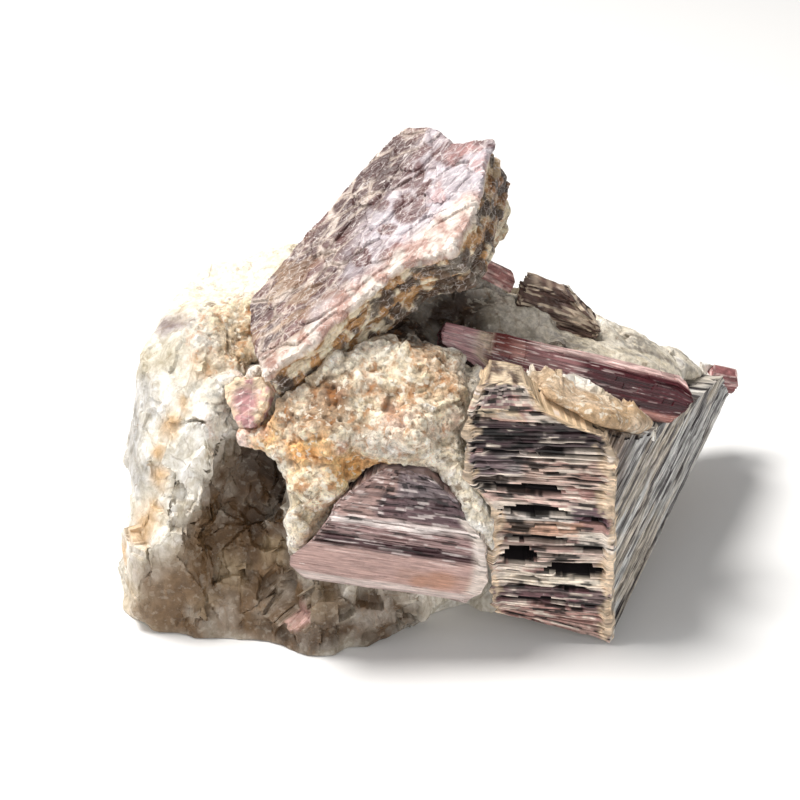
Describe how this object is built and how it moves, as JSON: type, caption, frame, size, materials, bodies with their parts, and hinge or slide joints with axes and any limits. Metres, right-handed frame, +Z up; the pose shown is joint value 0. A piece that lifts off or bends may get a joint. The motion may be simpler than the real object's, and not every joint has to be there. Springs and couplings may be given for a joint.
{
  "type": "lepidolite specimen on quartz matrix",
  "caption": "Mineral specimen to stand on a shelf: layered purple mica crystals grown on a quartz block, with a tilted plate on top, a stacked book at the right and a lath across it.",
  "frame": {"origin": "middle of the bounding box's footprint, at the height of the flat base", "axes": "+Z up, +X to the right of the picture along the longest side, +Y to the back, away from the picture's camera"},
  "size_m": [0.0848, 0.0524, 0.059],
  "materials": {
    "quartz_albite": "rough, with glassy facets",
    "lepidolite_purple": "pearly, scaly",
    "lepidolite_layers": "pearly, layered",
    "lepidolite_mauve": "pearly, striated",
    "lepidolite_burgundy": "glassy, striated",
    "mica_dark": "pearly, layered",
    "mica_pink": "pearly"
  },
  "bodies": {
    "root": {"quartz_matrix": "quartz_albite", "lepidolite_plate": "lepidolite_purple", "lepidolite_book": "lepidolite_layers", "lepidolite_wedge": "lepidolite_mauve", "lepidolite_lath": "lepidolite_burgundy", "back_mica_book": "mica_dark", "back_lath": "mica_pink", "pink_rosette": "mica_pink", "corner_prism": "mica_pink"}
  },
  "joints": []
}
